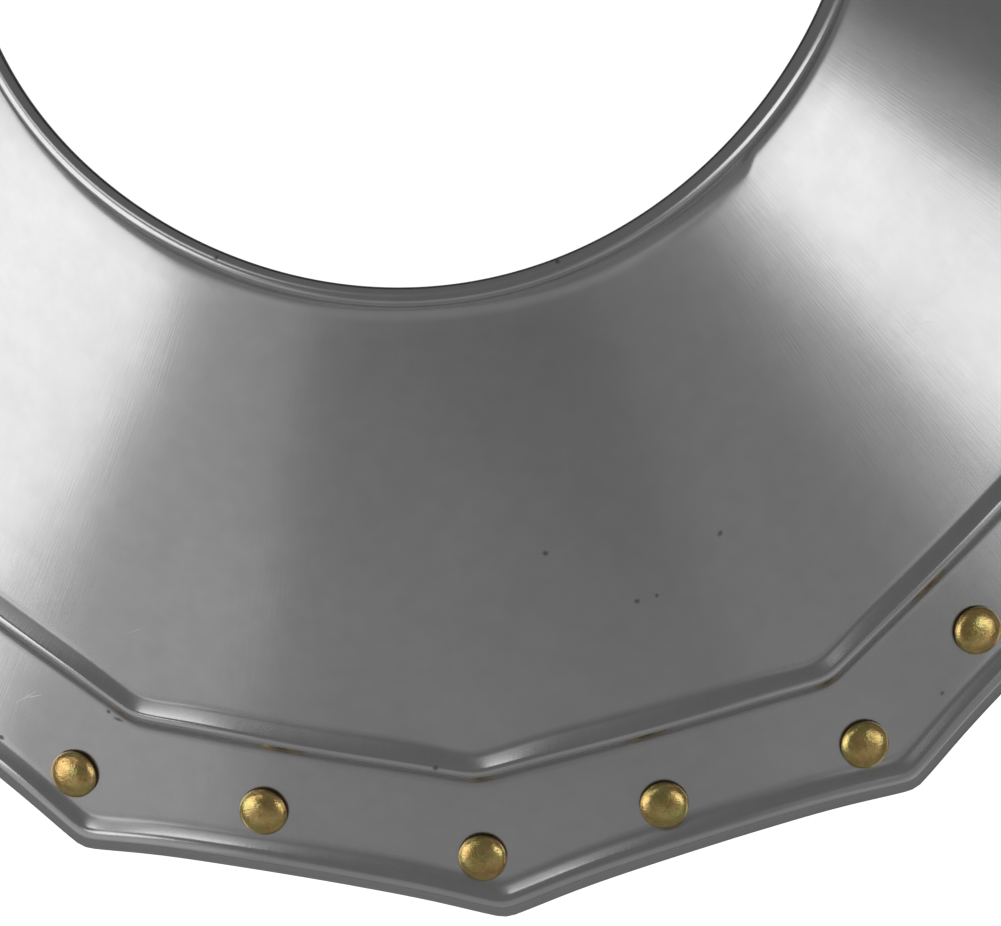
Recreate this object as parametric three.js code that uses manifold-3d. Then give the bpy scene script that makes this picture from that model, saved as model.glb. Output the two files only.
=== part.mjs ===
// A steel gorget: two plates that close round the neck, a raised angular ridge, brass rivets
// along the lower edge, and a buckled leather strap over the joint at each side.
// Millimetres, +Z up, the front towards -Y. It stands on the corners of its lower edge.
import * as THREE from 'three';
import { mergeVertices } from 'three/addons/utils/BufferGeometryUtils.js';
import { TessellateModifier } from 'three/addons/modifiers/TessellateModifier.js';
import Module from 'manifold-3d';

const wasm = await Module();
wasm.setup();

// Driving dimensions, in millimetres and degrees
const clearance = 0.3;
const sheet = 1.5;
const neckRadius = 71;
const rimRadius = 1.6;
const collarHeight = 4.8;
const collarLean = 0.2;
const flankSlope = 38;
const neckLean = 3;
const sideCount = 14;
const mainWidth = 54.3;
const ridgeWidth = 3.3;
const ridgeHeight = 1.5;
const bandWidth = 18.9;
const borderWidth = 4.7;
const borderHeight = 1.5;
const plateGap = 0.8;
const footDepth = 0.6;
const rivetHeadRadius = 4;
const rivetHeadHeight = 2.1;
const rivetShankRadius = 1.6;
const rivetTailRadius = 2.8;
const rivetTailHeight = 1.1;
const strapWidth = 14;
const leather = 2;
const strapShare = 0.486;
const strapClosestAngle = 95;
const strapStart = 82;
const strapRivetInset = 8;
const strapTipLength = 16;
const barPlace = -6;
const buckleLength = 18;
const buckleWire = 2.8;
const buckleSideRoom = 1.4;
const tabLength = 34;
const tabRivetInset = 8;
const prongWidth = 2.6;
const prongThickness = 1.8;

// Handwork in the front corners of the ridge and of the edge, counted from the middle one:
// turn in degrees, reach as a share of the outline's
const ridgeCorners = {
  [-2]: { turn: 0, reach: 0.992 },
  [-1]: { turn: 0.8, reach: 0.9957 },
  0: { turn: -0.8, reach: 0.9994 },
  1: { turn: -1.8, reach: 1.0064 },
  2: { turn: 0, reach: 0.992 },
};
const edgeCorners = {
  [-1]: { turn: -0.6, reach: 0.9995 },
  1: { turn: 0.1, reach: 1.003 },
};
const evenCorner = { turn: 0, reach: 1 };

// Handwork in the front rivets, counted from the middle one: turn in degrees, place as a
// share of the way from the ridge to the edge
const frontRivets = {
  [-2]: { turn: -2.3, place: 0.58 },
  [-1]: { turn: -2.3, place: 0.5 },
  0: { turn: -1, place: 0.57 },
  1: { turn: -1.9, place: 0.545 },
  2: { turn: -1.5, place: 0.55 },
  3: { turn: -4.4, place: 0.49 },
};
const evenRivet = { turn: -1.6, place: 0.53 };

// Derived sizes
const slope = THREE.MathUtils.degToRad(flankSlope);
const lean = THREE.MathUtils.degToRad(neckLean);
const sideAngle = (2 * Math.PI) / sideCount;
const collarFoot = neckRadius + collarLean + sheet;
const ridgeReach = collarFoot + mainWidth;
const edgeReach = ridgeReach + bandWidth;
const strapClosest = collarFoot + strapShare * mainWidth;
const stretch = Math.tan(lean) / Math.tan(slope);
const columnsPerSide = 4;
const rivetSides = 8;
const longestStep = 0.8 * strapWidth;

const steel = new THREE.MeshStandardMaterial({ color: 0xa3a4a5, roughness: 0.3, metalness: 1 });
const brass = new THREE.MeshStandardMaterial({ color: 0xb98f3a, roughness: 0.28, metalness: 1 });
const brownLeather = new THREE.MeshStandardMaterial({ color: 0x4a2c20, roughness: 0.7, metalness: 0 });

// A corner of the ridge's or the edge's outline, counted from the front
function outlineCorner(index, reach, handwork) {
  const row = handwork[index] ?? evenCorner;
  const angle = index * sideAngle + THREE.MathUtils.degToRad(row.turn);
  return { angle, distance: (reach * row.reach) / (1 - stretch * Math.cos(angle)) };
}

// Distance from the neck's axis to the side between two corners, at one angle. With a shrink of
// 1 the side is straight seen from above; the ridge's sides are straight on the unrolled sheet,
// where every angle shrinks by the flank's slope
function outline(reach, angle, handwork, shrink) {
  let index = Math.floor(angle / sideAngle + 1e-9);
  if (outlineCorner(index, reach, handwork).angle > angle + 1e-9) {
    index -= 1;
  } else if (outlineCorner(index + 1, reach, handwork).angle < angle + 1e-9) {
    index += 1;
  }
  const near = outlineCorner(index, reach, handwork);
  const far = outlineCorner(index + 1, reach, handwork);
  const fromNear = angle - near.angle;
  const toFar = far.angle - angle;
  return (near.distance * far.distance * Math.sin(shrink * (far.angle - near.angle))) /
    (near.distance * Math.sin(shrink * fromNear) + far.distance * Math.sin(shrink * toFar));
}

const ridgeOutline = (angle) => outline(ridgeReach, angle, ridgeCorners, Math.cos(slope));
const edgeOutline = (angle) => outline(edgeReach, angle, edgeCorners, 1);

// A point of the flank: angle round the neck from the front, distance from the neck's axis,
// height above the outer face of the sheet
function flankPoint(angle, distance, height) {
  const down = (distance - collarFoot) * Math.tan(slope);
  const out = distance + height * Math.sin(slope);
  return new THREE.Vector3(out * Math.sin(angle), -out * Math.cos(angle), height * Math.cos(slope) - down);
}

// Closed section of a plate at one angle, as [distance from the axis, height over the collar's foot]
function plateSection(angle) {
  const section = [];
  const onFlank = (distance, height) => {
    section.push([
      distance + height * Math.sin(slope),
      height * Math.cos(slope) - (distance - collarFoot) * Math.tan(slope),
    ]);
  };
  const ridge = ridgeOutline(angle);
  const edge = edgeOutline(angle);
  // Neck rim, rolled outwards
  const rimCentre = neckRadius + rimRadius;
  section.push([collarFoot - sheet, -sheet * 0.35]);
  for (let step = 0; step <= 6; step += 1) {
    const turn = Math.PI - (step * Math.PI) / 4;
    section.push([rimCentre + rimRadius * Math.cos(turn), collarHeight + rimRadius * Math.sin(turn)]);
  }
  // Foot of the collar, main face and raised ridge
  section.push([collarFoot, sheet * 0.4]);
  onFlank(collarFoot + sheet * 0.6, 0);
  onFlank(ridge - ridgeWidth, 0);
  onFlank(ridge - ridgeWidth * 0.25, ridgeHeight);
  onFlank(ridge, ridgeHeight * 0.9);
  onFlank(ridge + ridgeWidth * 0.25, 0);
  // Rivet band and rolled lower edge
  onFlank(edge - borderWidth, 0);
  onFlank(edge - borderWidth * 0.66, borderHeight * 0.8);
  onFlank(edge - borderWidth * 0.45, borderHeight);
  onFlank(edge - borderWidth * 0.14, borderHeight * 0.4);
  onFlank(edge, -sheet * 0.5);
  onFlank(edge - borderWidth * 0.12, -sheet * 1.7);
  onFlank(edge - borderWidth * 0.4, -sheet * 1.6);
  // Inner face, which follows the border and the ridge
  onFlank(edge - borderWidth * 0.62, -sheet);
  onFlank(ridge + ridgeWidth * 0.35, -sheet);
  onFlank(ridge, ridgeHeight * 0.9 - sheet);
  onFlank(ridge - ridgeWidth * 0.25, ridgeHeight - sheet);
  onFlank(ridge - ridgeWidth, -sheet);
  return section;
}

// Sweeps closed sections along a list of stations and closes both ends
function sweep(stations, sectionAt, place) {
  const positions = [];
  const faces = [];
  let count = 0;
  for (const station of stations) {
    const section = sectionAt(station);
    count = section.length;
    for (const point of section) {
      const placed = place(point, station);
      positions.push(placed.x, placed.y, placed.z);
    }
  }
  for (let row = 0; row < stations.length - 1; row += 1) {
    for (let index = 0; index < count; index += 1) {
      const next = (index + 1) % count;
      const a = row * count + index;
      const b = row * count + next;
      faces.push(a, a + count, b, b, a + count, b + count);
    }
  }
  for (const end of [0, stations.length - 1]) {
    const flat = sectionAt(stations[end]).map((point) => new THREE.Vector2(point[0], point[1]));
    const around = THREE.ShapeUtils.area(flat);
    for (const [a, b, c] of THREE.ShapeUtils.triangulateShape(flat, [])) {
      const start = end * count;
      const withSection = THREE.ShapeUtils.area([flat[a], flat[b], flat[c]]) * around > 0;
      const kept = withSection === (end === 0);
      faces.push(start + a, start + (kept ? b : c), start + (kept ? c : b));
    }
  }
  const geometry = new THREE.BufferGeometry();
  geometry.setAttribute('position', new THREE.Float32BufferAttribute(positions, 3));
  geometry.setIndex(faces);
  return geometry;
}

function toSolid(geometry) {
  const bare = geometry.clone();
  bare.deleteAttribute('normal');
  bare.deleteAttribute('uv');
  const merged = mergeVertices(bare, 1e-4);
  return new wasm.Manifold(new wasm.Mesh({
    numProp: 3,
    vertProperties: new Float32Array(merged.attributes.position.array),
    triVerts: new Uint32Array(merged.index.array),
  }));
}

function toGeometry(solid) {
  const mesh = solid.getMesh();
  const geometry = new THREE.BufferGeometry();
  geometry.setAttribute('position', new THREE.BufferAttribute(new Float32Array(mesh.vertProperties), 3));
  geometry.setIndex(new THREE.BufferAttribute(new Uint32Array(mesh.triVerts), 1));
  return geometry;
}

// Turns and moves a shape made on the +Y axis so that it stands on the flank
function standOnFlank(geometry, angle, distance) {
  const foot = flankPoint(angle, distance, 0);
  const up = flankPoint(angle, distance, 1).sub(foot);
  const turn = new THREE.Quaternion().setFromUnitVectors(new THREE.Vector3(0, 1, 0), up);
  return geometry.clone().applyQuaternion(turn).translate(foot.x, foot.y, foot.z);
}

// Dome-headed rivet: head on top of what it holds, tail spread under the sheet
function rivetGeometry(stack) {
  const seat = stack + clearance;
  const under = -sheet - clearance;
  const profile = [
    [0, under - rivetTailHeight],
    [rivetTailRadius * 0.8, under - rivetTailHeight],
    [rivetTailRadius, under],
    [rivetShankRadius, under],
    [rivetShankRadius, seat],
    [rivetHeadRadius, seat],
    [rivetHeadRadius * 0.88, seat + rivetHeadHeight * 0.5],
    [rivetHeadRadius * 0.5, seat + rivetHeadHeight * 0.9],
    [0, seat + rivetHeadHeight],
  ];
  return new THREE.LatheGeometry(profile.map(([x, y]) => new THREE.Vector2(x, y)), rivetSides);
}

function rivetHole(angle, distance) {
  const radius = rivetShankRadius + clearance;
  const drill = new THREE.CylinderGeometry(radius, radius, 6 * sheet, rivetSides);
  return toSolid(standOnFlank(drill, angle, distance));
}

const group = new THREE.Group();
const gorget = new THREE.Group();
gorget.rotation.x = -lean;
group.add(gorget);

function addPiece(name, geometry, material) {
  const mesh = new THREE.Mesh(geometry, material);
  mesh.name = name;
  gorget.add(mesh);
}

// Where the lower edge's rivets sit: at every corner and half way along every side,
// apart from the two sides that the joints cut through
function rivetRow(centre, handwork) {
  const places = [];
  const half = (sideCount / 2 - 1) / 2;
  for (let step = -2 * half; step <= 2 * half; step += 1) {
    const { turn, place } = handwork[step] ?? evenRivet;
    const angle = centre + (step * sideAngle) / 2 + THREE.MathUtils.degToRad(turn);
    const ridge = ridgeOutline(angle);
    const edge = edgeOutline(angle);
    places.push({
      angle,
      distance: ridge + (edge - ridge) * place,
      kind: Math.abs(step % 2) === 0 ? 'corner' : 'side',
      number: Math.round(step / 2 + half) + 1,
    });
  }
  return places;
}

// Angles of a plate's columns: even steps, and one more at each corner that handwork turned
function plateStations(centre) {
  const half = Math.PI / 2 - plateGap / 2 / collarFoot;
  const columns = (sideCount / 2) * columnsPerSide;
  const angles = [];
  for (let column = 0; column <= columns; column += 1) {
    const share = (2 * column) / columns - 1;
    angles.push(THREE.MathUtils.clamp((share * Math.PI) / 2, -half, half));
  }
  for (const handwork of [ridgeCorners, edgeCorners]) {
    for (const [index, { turn }] of Object.entries(handwork)) {
      const angle = index * sideAngle + THREE.MathUtils.degToRad(turn) - centre;
      if (turn !== 0 && Math.abs(angle) < half) {
        angles.push(angle);
      }
    }
  }
  return angles.sort((a, b) => b - a).map((angle) => centre + angle);
}

// A plate of the gorget: seven sides of the outline, drilled for its rivets and cut flat
// where its corners stand
function plateSolid(centre, holes) {
  const place = (point, angle) => (
    new THREE.Vector3(point[0] * Math.sin(angle), -point[0] * Math.cos(angle), point[1])
  );
  let plate = toSolid(sweep(plateStations(centre), plateSection, place));
  for (const hole of holes) {
    plate = plate.subtract(rivetHole(hole.angle, hole.distance));
  }
  return plate.subtract(belowFeet());
}

// Lowest height of the corners in the standing gorget, then a block below the feet in the
// gorget's own leaning frame
function belowFeet() {
  const corner = plateSection(0).map(([out, up]) => new THREE.Vector3(0, -out, up).applyEuler(gorget.rotation));
  const lowest = Math.min(...corner.map((point) => point.z));
  const size = 4 * edgeReach;
  const block = new THREE.BoxGeometry(size, size, size).translate(0, 0, lowest + footDepth - size / 2);
  block.applyQuaternion(new THREE.Quaternion().setFromEuler(gorget.rotation).invert());
  return toSolid(block);
}

// Straps. They are drawn flat, with x across the strap, y along it towards the front and
// z above the flank, and then wrapped round the flank without stretching.
function strapPlace(across, along) {
  const slant = strapClosest / Math.cos(slope);
  const turned = Math.atan2(along, slant + across) / Math.cos(slope);
  return {
    angle: THREE.MathUtils.degToRad(strapClosestAngle) - turned,
    distance: Math.hypot(slant + across, along) * Math.cos(slope),
  };
}

function wrapOnFlank(solid, side) {
  const fine = new TessellateModifier(longestStep, 12).modify(toGeometry(solid).toNonIndexed());
  const geometry = mergeVertices(fine, 1e-4);
  const position = geometry.attributes.position;
  for (let index = 0; index < position.count; index += 1) {
    const { angle, distance } = strapPlace(position.getX(index), position.getY(index));
    const point = flankPoint(side * angle, distance, position.getZ(index));
    position.setXYZ(index, point.x, point.y, point.z);
  }
  if (side > 0) {
    geometry.index.array.reverse();
  }
  return geometry;
}

// A band of leather that follows a path of [along, height] points, as a closed solid
function leatherBand(path, width) {
  const upper = [];
  const lower = [];
  path.forEach(([along, height], index) => {
    const before = path[Math.max(index - 1, 0)];
    const after = path[Math.min(index + 1, path.length - 1)];
    const direction = new THREE.Vector2(after[0] - before[0], after[1] - before[1]).normalize();
    const offset = new THREE.Vector2(-direction.y, direction.x).multiplyScalar(leather / 2);
    upper.push([along + offset.x, height + offset.y]);
    lower.push([along - offset.x, height - offset.y]);
  });
  const section = [...upper, ...lower.reverse()];
  const steps = 2;
  const stations = Array.from({ length: steps + 1 }, (_, step) => (step / steps - 0.5) * width);
  const geometry = sweep(stations, () => section, (point, across) => (
    new THREE.Vector3(across, point[0], point[1])
  ));
  return toSolid(geometry);
}

// Upright prism through a flat drawing of the strap
function uprightPrism(shape, low, high) {
  const geometry = new THREE.ExtrudeGeometry(shape, { depth: high - low, bevelEnabled: false, curveSegments: 6 });
  return toSolid(geometry.translate(0, 0, low));
}

// Long shape with both ends rounded off
function roundEnded(width, back, front) {
  const half = width / 2;
  const rounding = width * 0.45;
  const shape = new THREE.Shape();
  shape.moveTo(-half, back + rounding);
  shape.quadraticCurveTo(-half, back, 0, back);
  shape.quadraticCurveTo(half, back, half, back + rounding);
  shape.lineTo(half, front - rounding);
  shape.quadraticCurveTo(half, front, 0, front);
  shape.quadraticCurveTo(-half, front, -half, front - rounding);
  shape.closePath();
  return shape;
}

function slot(width, back, front) {
  const shape = new THREE.Shape();
  shape.moveTo(-width / 2, back);
  shape.lineTo(width / 2, back);
  shape.lineTo(width / 2, front);
  shape.lineTo(-width / 2, front);
  shape.closePath();
  return shape;
}

function roundHole(along) {
  const radius = rivetShankRadius + clearance;
  const drill = new THREE.CylinderGeometry(radius, radius, 8 * leather, rivetSides);
  return toSolid(drill.rotateX(Math.PI / 2).translate(0, along, 0));
}

// Heights in the fastened buckle, all measured from the flank
const lying = clearance + leather / 2;
const barRadius = buckleWire / 2;
const loopRadius = barRadius + clearance + leather / 2;
const barHeight = lying + loopRadius;
const overTab = lying + leather + clearance;
const overLoop = barHeight + loopRadius + leather + clearance;
const frontBarPlace = barPlace + buckleLength;
const roomAbove = 4 * barHeight;

// The strap lies on the front plate, goes under the buckle's front bar and over its hinge bar
function strapSolid() {
  const tip = barPlace - strapTipLength;
  const path = [];
  const rest = frontBarPlace - buckleWire;
  const pieces = 7;
  for (let step = 0; step <= pieces; step += 1) {
    path.push([strapStart + ((rest - strapStart) * step) / pieces, lying]);
  }
  path.push([barPlace + loopRadius + leather, overLoop - leather * 0.4]);
  path.push([barPlace, overLoop]);
  path.push([barPlace - loopRadius * 1.6, overLoop - leather * 0.5]);
  path.push([barPlace - loopRadius * 3.4, overTab + leather + clearance]);
  path.push([tip, overTab + leather + clearance]);
  let strap = leatherBand(path, strapWidth);
  strap = strap.intersect(uprightPrism(roundEnded(strapWidth * 0.999, tip, strapStart), -leather, roomAbove));
  strap = strap.subtract(roundHole(strapStart - strapRivetInset));
  const prongHole = slot(prongWidth + 4 * clearance, barPlace + loopRadius * 0.8, rest - leather / 2);
  return strap.subtract(uprightPrism(prongHole, -leather, roomAbove));
}

// The tab is folded round the hinge bar and riveted through both layers to the back plate
function tabSolid() {
  const end = barPlace - tabLength;
  const path = [];
  const pieces = 5;
  for (let step = 0; step < pieces; step += 1) {
    path.push([end + ((barPlace - end) * step) / pieces, lying]);
  }
  const turns = 6;
  for (let step = 0; step <= turns; step += 1) {
    const turn = -Math.PI / 2 + (step * Math.PI) / turns;
    path.push([barPlace + loopRadius * Math.cos(turn), barHeight + loopRadius * Math.sin(turn)]);
  }
  path.push([barPlace - loopRadius * 1.7, overTab + leather * 0.3]);
  path.push([barPlace - loopRadius * 2.6, overTab]);
  path.push([end, overTab]);
  let tab = leatherBand(path, strapWidth - 2 * clearance);
  tab = tab.intersect(uprightPrism(roundEnded(strapWidth, end, barPlace + 4 * loopRadius), -leather, roomAbove));
  tab = tab.subtract(roundHole(end + tabRivetInset));
  const prongSlot = slot(prongWidth + 4 * clearance, barPlace - loopRadius * 1.9, barPlace + 3 * loopRadius);
  return tab.subtract(uprightPrism(prongSlot, -leather, roomAbove));
}

function crossBar(radius, length) {
  const bar = new THREE.CylinderGeometry(radius, radius, length, rivetSides);
  return toSolid(bar.rotateZ(Math.PI / 2).translate(0, barPlace, barHeight));
}

function buckleSolid() {
  const inner = strapWidth + 2 * buckleSideRoom;
  const outer = inner + 2 * buckleWire;
  const low = barHeight - barRadius;
  const high = barHeight + barRadius;
  const frame = new THREE.Shape();
  const back = barPlace - barRadius;
  const front = frontBarPlace + barRadius;
  frame.moveTo(-outer / 2, back);
  frame.lineTo(outer / 2, back);
  frame.lineTo(outer / 2, front - buckleWire);
  frame.quadraticCurveTo(outer / 2, front, outer / 2 - buckleWire, front);
  frame.lineTo(-outer / 2 + buckleWire, front);
  frame.quadraticCurveTo(-outer / 2, front, -outer / 2, front - buckleWire);
  frame.closePath();
  const hollow = slot(inner, back - buckleWire, frontBarPlace - barRadius);
  return uprightPrism(frame, low, high)
    .subtract(uprightPrism(hollow, low - buckleWire, high + buckleWire))
    .add(crossBar(barRadius * 0.98, inner + buckleWire));
}

function prongSolid() {
  const low = barHeight + barRadius + clearance;
  const tip = frontBarPlace + barRadius * 1.2;
  const arm = uprightPrism(slot(prongWidth, barPlace, tip), low, low + prongThickness);
  const eye = crossBar(barRadius + clearance + prongThickness * 0.75, prongWidth);
  return arm.add(eye).subtract(crossBar(barRadius + clearance, prongWidth * 2));
}

function addSide(sideName, side) {
  addPiece(`${sideName}_strap`, wrapOnFlank(strapSolid(), side), brownLeather);
  addPiece(`${sideName}_buckle_tab`, wrapOnFlank(tabSolid(), side), brownLeather);
  addPiece(`${sideName}_buckle`, wrapOnFlank(buckleSolid(), side), brass);
  addPiece(`${sideName}_prong`, wrapOnFlank(prongSolid(), side), brass);
  const strapRivet = strapPlace(0, strapStart - strapRivetInset);
  const tabRivet = strapPlace(0, barPlace - tabLength + tabRivetInset);
  const single = rivetGeometry(lying + leather / 2);
  const double = rivetGeometry(overTab + leather / 2);
  addPiece(`${sideName}_strap_rivet`, standOnFlank(single, side * strapRivet.angle, strapRivet.distance), brass);
  addPiece(`${sideName}_tab_rivet`, standOnFlank(double, side * tabRivet.angle, tabRivet.distance), brass);
}

function addPlate(plateName, centre, handwork, strapHole) {
  const row = rivetRow(centre, handwork);
  const holes = [...row, strapHole, { angle: -strapHole.angle, distance: strapHole.distance }];
  addPiece(`${plateName}_plate`, toGeometry(plateSolid(centre, holes)), steel);
  for (const { angle, distance, kind, number } of row) {
    addPiece(`${plateName}_${kind}_rivet_${number}`, standOnFlank(rivetGeometry(0), angle, distance), brass);
  }
}

addPlate('front', 0, frontRivets, strapPlace(0, strapStart - strapRivetInset));
addPlate('back', Math.PI, {}, strapPlace(0, barPlace - tabLength + tabRivetInset));
addSide('right', 1);
addSide('left', -1);

// The origin is on the floor under the middle of the gorget
group.updateMatrixWorld(true);
const box = new THREE.Box3().setFromObject(group, true);
const middle = box.getCenter(new THREE.Vector3());
group.position.set(-middle.x, -middle.y, -box.min.z);

export default group;
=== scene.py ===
import math

import bmesh
import bpy
from mathutils import Matrix, Vector, noise


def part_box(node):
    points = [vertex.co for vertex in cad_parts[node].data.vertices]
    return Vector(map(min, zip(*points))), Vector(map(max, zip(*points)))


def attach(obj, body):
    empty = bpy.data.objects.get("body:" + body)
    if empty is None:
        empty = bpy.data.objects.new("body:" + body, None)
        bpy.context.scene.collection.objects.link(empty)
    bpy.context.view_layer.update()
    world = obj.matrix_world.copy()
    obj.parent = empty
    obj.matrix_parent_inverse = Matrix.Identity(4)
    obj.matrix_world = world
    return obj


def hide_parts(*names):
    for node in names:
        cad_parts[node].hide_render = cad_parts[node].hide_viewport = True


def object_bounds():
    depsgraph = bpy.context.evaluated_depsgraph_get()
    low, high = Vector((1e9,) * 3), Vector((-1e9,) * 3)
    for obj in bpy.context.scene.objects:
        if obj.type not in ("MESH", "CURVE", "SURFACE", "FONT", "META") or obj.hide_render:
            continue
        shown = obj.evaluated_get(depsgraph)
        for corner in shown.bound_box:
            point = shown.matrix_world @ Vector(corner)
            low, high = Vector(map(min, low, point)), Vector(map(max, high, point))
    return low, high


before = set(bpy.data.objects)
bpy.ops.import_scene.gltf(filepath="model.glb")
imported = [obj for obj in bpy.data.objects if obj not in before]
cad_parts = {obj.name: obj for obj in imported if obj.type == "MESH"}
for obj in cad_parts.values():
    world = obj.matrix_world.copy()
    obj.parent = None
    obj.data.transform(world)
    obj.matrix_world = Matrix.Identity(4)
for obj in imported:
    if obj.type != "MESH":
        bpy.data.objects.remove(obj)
CAD_BOX = [list(corner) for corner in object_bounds()]

# Driving dimensions, the same as in the part but for the prong, which is 0.2 mm thinner
CLEARANCE = 0.0003
SHEET = 0.0015
NECK_RADIUS = 0.071
RIM_RADIUS = 0.0016
COLLAR_HEIGHT = 0.0048
COLLAR_LEAN = 0.0002
SLOPE = math.radians(38)
LEAN = math.radians(3)
SIDE_COUNT = 14
MAIN_WIDTH = 0.0543
RIDGE_WIDTH = 0.0033
RIDGE_HEIGHT = 0.0015
BAND_WIDTH = 0.0189
BORDER_WIDTH = 0.0047
BORDER_HEIGHT = 0.0015
PLATE_GAP = 0.0008
FOOT_DEPTH = 0.0006
RIVET_HEAD_RADIUS = 0.004
RIVET_HEAD_HEIGHT = 0.0021
RIVET_SHANK_RADIUS = 0.0016
RIVET_TAIL_RADIUS = 0.0028
RIVET_TAIL_HEIGHT = 0.0011
STRAP_WIDTH = 0.014
LEATHER = 0.002
STRAP_SHARE = 0.486
STRAP_CLOSEST_ANGLE = math.radians(95)
STRAP_START = 0.082
STRAP_RIVET_INSET = 0.008
STRAP_TIP_LENGTH = 0.016
BAR_PLACE = -0.006
BUCKLE_LENGTH = 0.018
BUCKLE_WIRE = 0.0028
BUCKLE_SIDE_ROOM = 0.0014
TAB_LENGTH = 0.034
TAB_RIVET_INSET = 0.008
PRONG_WIDTH = 0.0026
PRONG_THICKNESS = 0.0016

# Handwork in the front corners of the ridge and of the edge, counted from the middle one:
# turn in degrees, share of the outline's reach. One corner of the edge lies 0.5 mm further
# out than in the part.
RIDGE_CORNERS = {-2: (0, 0.992), -1: (0.8, 0.9957), 0: (-0.8, 0.9994), 1: (-1.8, 1.0064), 2: (0, 0.992)}
EDGE_CORNERS = {-1: (-0.6, 1.0025), 1: (0.1, 1.003)}
EVEN_CORNER = (0.0, 1.0)

# Handwork in the front rivets, counted from the middle one: turn in degrees, place as a
# share of the way from the ridge to the edge
FRONT_RIVETS = {
    -2: (-2.3, 0.58), -1: (-2.3, 0.5), 0: (-1, 0.57), 1: (-1.9, 0.545), 2: (-1.5, 0.55), 3: (-4.4, 0.49),
}
EVEN_RIVET = (-1.6, 0.53)

# Derived sizes
SIDE_ANGLE = 2 * math.pi / SIDE_COUNT
COLLAR_FOOT = NECK_RADIUS + COLLAR_LEAN + SHEET
RIDGE_REACH = COLLAR_FOOT + MAIN_WIDTH
EDGE_REACH = RIDGE_REACH + BAND_WIDTH
STRAP_CLOSEST = COLLAR_FOOT + STRAP_SHARE * MAIN_WIDTH
STRETCH = math.tan(LEAN) / math.tan(SLOPE)
LYING = CLEARANCE + LEATHER / 2
BAR_RADIUS = BUCKLE_WIRE / 2
LOOP_RADIUS = BAR_RADIUS + CLEARANCE + LEATHER / 2
BAR_HEIGHT = LYING + LOOP_RADIUS
OVER_TAB = LYING + LEATHER + CLEARANCE
OVER_LOOP = BAR_HEIGHT + LOOP_RADIUS + LEATHER + CLEARANCE
FRONT_BAR_PLACE = BAR_PLACE + BUCKLE_LENGTH

# How finely the looks are drawn
COLUMNS_PER_SIDE = 48
MAIN_ROWS = 9
ROUNDING_STEPS = 4
RIM_STEPS = 20
RIVET_SIDES = 36
DOME_STEPS = 11
SLOT_END_STEPS = 8
TAB_FOLD_STEPS = 14
WIRE_SIDES = 18
PRONG_EYE_STEPS = 18
LEATHER_STEP = 0.0016
WIRE_STEP = 0.0012
PRONG_STEP = 0.001

# How hammering and wear changed the plates, drawn in the looks only: softer corners, sides
# that run a little hollow, corners drawn out, an uneven sheet and an uneven neck opening
RIDGE_SOFTNESS = math.radians(0.7)
EDGE_SOFTNESS = math.radians(0.5)
EDGE_PINCH = 0.00045
RIDGE_POINT = 0.0003
RIDGE_NARROWING = 0.0004
CORNER_SPREAD = math.radians(3.5)
HAND_WAVE = 0.00010
RIM_DRAW = 0.0004
RIM_WAVE = 0.0005
COLLAR_EASE = 0.0009

# Places in the plate's section, as shares of the ridge's, the border's or the sheet's size
RIDGE_FOOT = 1.02
RIDGE_DROP = 0.24
BORDER_FOOT = 1.05
BORDER_LIP = (0.14, 0.4)
INNER_LIP = (0.12, -1.7)
COLLAR_TOE = 0.6

# How far from a crease its dirt and painted shade end, and how far from it the plain sheet begins
RIDGE_CREASE = 0.0009
BORDER_CREASE = 0.0011
BORDER_ROOM = 0.003
RIDGE_ROOM = 0.004
COLLAR_ROOM = 0.0045

# The steel's finish is laid out as metres round the neck at this distance from its axis
UV_RADIUS = 0.1

# Slots that the prong passes through are this much wider than it
PRONG_ROOM = 0.0009


# Shape of the gorget, in its own upright frame

def outline_corner(index, reach, handwork):
    """Angle and distance of one corner of the ridge's or the edge's outline."""
    turn, share = handwork.get(index, EVEN_CORNER)
    angle = index * SIDE_ANGLE + math.radians(turn)
    return angle, reach * share / (1 - STRETCH * math.cos(angle))


def outline(reach, angle, handwork, shrink):
    """Distance from the neck's axis to the side between two corners. With a shrink of 1 the
    side is straight seen from above; the ridge's sides are straight on the unrolled sheet,
    where every angle shrinks by the flank's slope."""
    index = math.floor(angle / SIDE_ANGLE + 1e-9)
    if outline_corner(index, reach, handwork)[0] > angle + 1e-9:
        index -= 1
    elif outline_corner(index + 1, reach, handwork)[0] < angle + 1e-9:
        index += 1
    near_angle, near = outline_corner(index, reach, handwork)
    far_angle, far = outline_corner(index + 1, reach, handwork)
    spread = near * far * math.sin(shrink * (far_angle - near_angle))
    from_near = near * math.sin(shrink * (angle - near_angle))
    return spread / (from_near + far * math.sin(shrink * (far_angle - angle)))


def ridge_line(angle):
    return outline(RIDGE_REACH, angle, RIDGE_CORNERS, math.cos(SLOPE))


def edge_line(angle):
    return outline(EDGE_REACH, angle, EDGE_CORNERS, 1.0)


def softened(line, angle, softness):
    """An outline with its corners eased, as hammered steel has them."""
    spots = [angle + softness * step / 4 for step in range(-4, 5)]
    return sum(line(spot) for spot in spots) / len(spots)


def near_corner(angle, reach, handwork, spread):
    """1 at the nearest corner of an outline, fading to 0 along its sides."""
    nearest = round(angle / SIDE_ANGLE)
    away = angle - outline_corner(nearest, reach, handwork)[0]
    return math.exp(-((away / spread) ** 2))


def ridge_outline(angle):
    """The ridge is drawn out a little at its corners."""
    point = RIDGE_POINT * near_corner(angle, RIDGE_REACH, RIDGE_CORNERS, CORNER_SPREAD)
    return softened(ridge_line, angle, RIDGE_SOFTNESS) + point


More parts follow.
